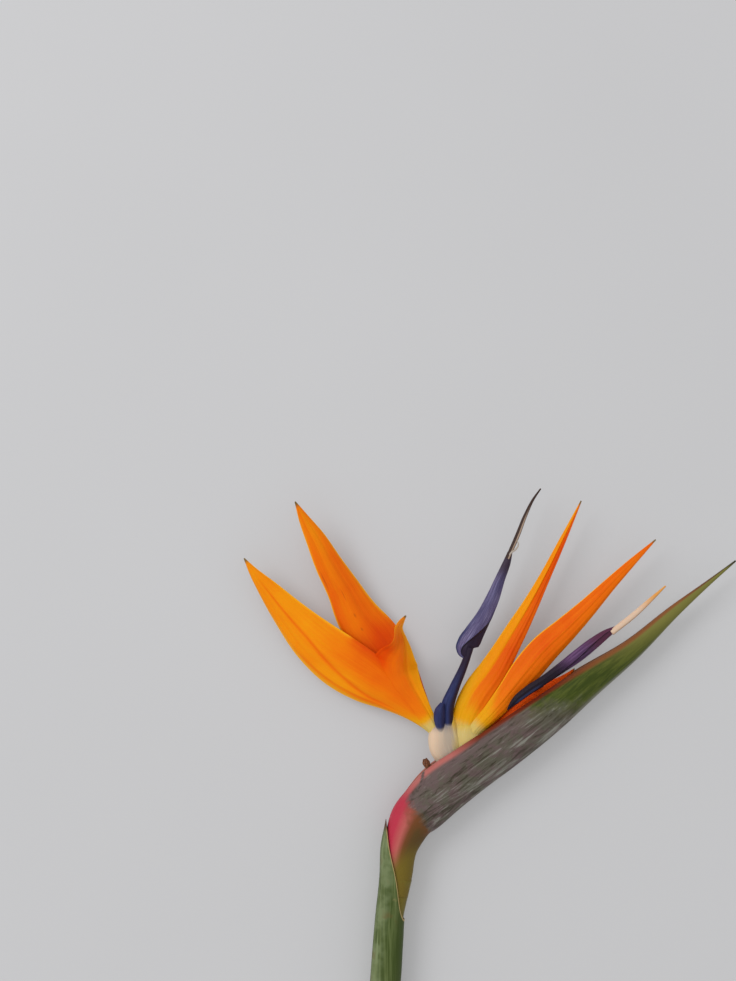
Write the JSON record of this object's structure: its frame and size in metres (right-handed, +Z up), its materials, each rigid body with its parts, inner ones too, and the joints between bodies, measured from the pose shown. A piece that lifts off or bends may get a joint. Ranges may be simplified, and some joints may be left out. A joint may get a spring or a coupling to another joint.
{
  "type": "bird of paradise flower",
  "caption": "Cut bird of paradise flower lying on its side: a green stem with a leafy sheath, a beaked boat-shaped spathe, and orange sepals with blue arrow-shaped petals.",
  "frame": {"origin": "centre of the bounding box's bottom face, on the surface the flower lies on", "axes": "+Y from the cut end of the stem towards the flowers, +X across the plant towards the spathe's beak, +Z up from the surface"},
  "size_m": [0.1972, 0.4076, 0.0668],
  "materials": {
    "stem": "satin",
    "stem_sheath": "satin",
    "spathe": "satin",
    "dried_bract": "matte",
    "flower_base": "satin",
    "sepal": "satin",
    "blue_petal": "satin",
    "violet_petal": "satin",
    "brown_style": "satin",
    "cream_style": "satin"
  },
  "bodies": {
    "root": {"stem": "stem", "stem_sheath": "stem_sheath", "spathe": "spathe", "dried_bract": "dried_bract", "flower_1_base": "flower_base", "flower_1_sepal_lower": "sepal", "flower_1_sepal_upper": "sepal", "flower_1_sepal_front": "sepal", "flower_1_tongue": "blue_petal", "flower_1_hood_petal": "blue_petal", "flower_1_style": "brown_style", "flower_2_base": "flower_base", "flower_2_sepal_back": "sepal", "flower_2_sepal_middle": "sepal", "flower_2_sepal_lower": "sepal", "flower_2_tongue": "violet_petal", "flower_2_hood_petal": "violet_petal", "flower_2_style": "cream_style"}
  },
  "joints": []
}
